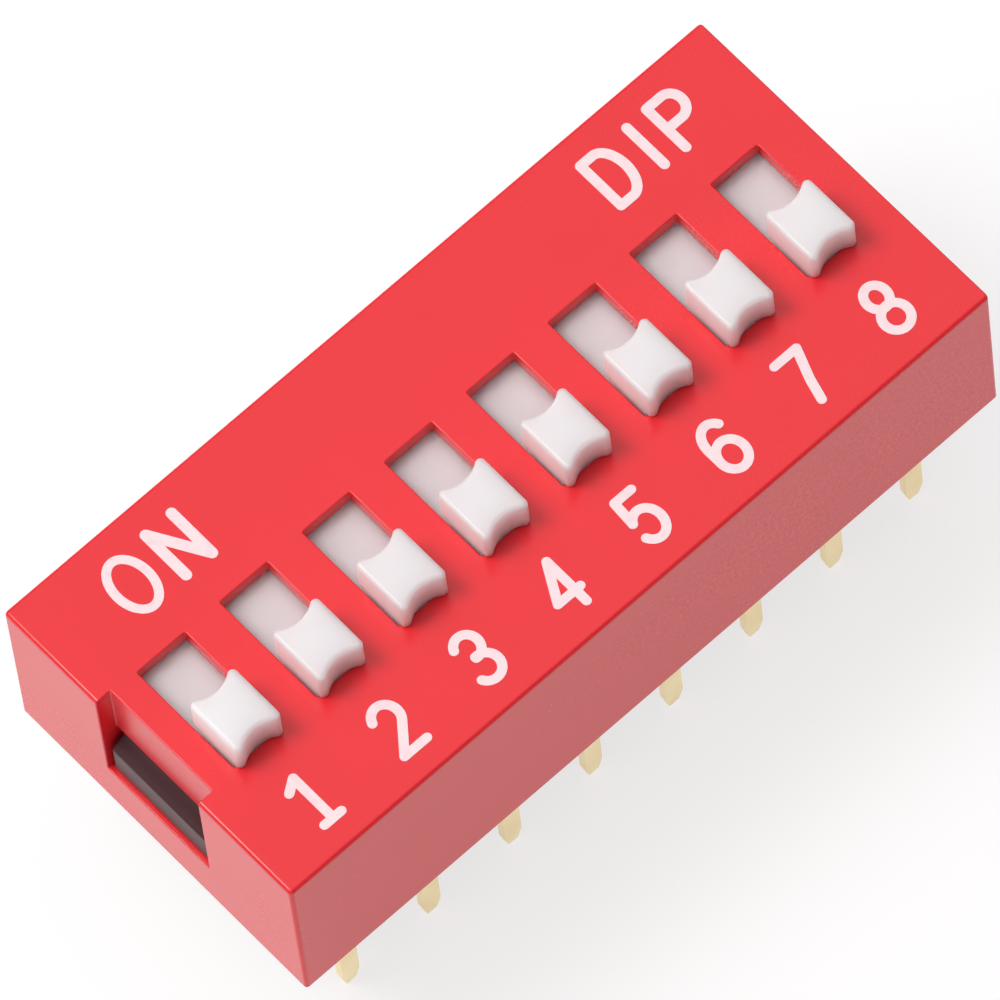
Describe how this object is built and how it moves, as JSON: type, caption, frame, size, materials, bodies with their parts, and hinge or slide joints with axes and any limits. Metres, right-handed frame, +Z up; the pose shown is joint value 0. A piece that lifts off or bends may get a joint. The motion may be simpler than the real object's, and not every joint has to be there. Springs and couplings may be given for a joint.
{
  "type": "dip switch",
  "caption": "Through-hole DIP switch: a row of raised sliding actuators in a moulded housing, over rows of flat pins.",
  "frame": {"origin": "centre of the seating plane, which is the cover's bottom rim; the pins reach below it", "axes": "+X from position 1 to position 8, +Y towards the ON side, +Z up and away from the board"},
  "size_m": [0.0216, 0.0098, 0.0105],
  "materials": {
    "cover_red": "moulded, satin",
    "base_black": "moulded, matt",
    "seal_compound": "cast, satin",
    "actuator_white": "moulded, satin",
    "contact_gold": "plated",
    "terminal_gold": "plated, satin"
  },
  "bodies": {
    "housing": {"cover": "cover_red", "base": "base_black", "seal": "seal_compound", "terminal_front_1": "terminal_gold", "terminal_front_2": "terminal_gold", "terminal_front_3": "terminal_gold", "terminal_front_4": "terminal_gold", "terminal_front_5": "terminal_gold", "terminal_front_6": "terminal_gold", "terminal_front_7": "terminal_gold", "terminal_front_8": "terminal_gold", "terminal_rear_1": "terminal_gold", "terminal_rear_2": "terminal_gold", "terminal_rear_3": "terminal_gold", "terminal_rear_4": "terminal_gold", "terminal_rear_5": "terminal_gold", "terminal_rear_6": "terminal_gold", "terminal_rear_7": "terminal_gold", "terminal_rear_8": "terminal_gold"},
    "slider_1": {"actuator_1": "actuator_white", "contact_1": "contact_gold"},
    "slider_2": {"actuator_2": "actuator_white", "contact_2": "contact_gold"},
    "slider_3": {"actuator_3": "actuator_white", "contact_3": "contact_gold"},
    "slider_4": {"actuator_4": "actuator_white", "contact_4": "contact_gold"},
    "slider_5": {"actuator_5": "actuator_white", "contact_5": "contact_gold"},
    "slider_6": {"actuator_6": "actuator_white", "contact_6": "contact_gold"},
    "slider_7": {"actuator_7": "actuator_white", "contact_7": "contact_gold"},
    "slider_8": {"actuator_8": "actuator_white", "contact_8": "contact_gold"}
  },
  "joints": [
    {"name": "slide_1", "type": "slide", "parent": "housing", "child": "slider_1", "axis": [0, 1, 0], "range_m": [0, 0.00198]},
    {"name": "slide_2", "type": "slide", "parent": "housing", "child": "slider_2", "axis": [0, 1, 0], "range_m": [0, 0.00198]},
    {"name": "slide_3", "type": "slide", "parent": "housing", "child": "slider_3", "axis": [0, 1, 0], "range_m": [0, 0.00198]},
    {"name": "slide_4", "type": "slide", "parent": "housing", "child": "slider_4", "axis": [0, 1, 0], "range_m": [0, 0.00198]},
    {"name": "slide_5", "type": "slide", "parent": "housing", "child": "slider_5", "axis": [0, 1, 0], "range_m": [0, 0.00198]},
    {"name": "slide_6", "type": "slide", "parent": "housing", "child": "slider_6", "axis": [0, 1, 0], "range_m": [0, 0.00198]},
    {"name": "slide_7", "type": "slide", "parent": "housing", "child": "slider_7", "axis": [0, 1, 0], "range_m": [0, 0.00198]},
    {"name": "slide_8", "type": "slide", "parent": "housing", "child": "slider_8", "axis": [0, 1, 0], "range_m": [0, 0.00198]}
  ]
}
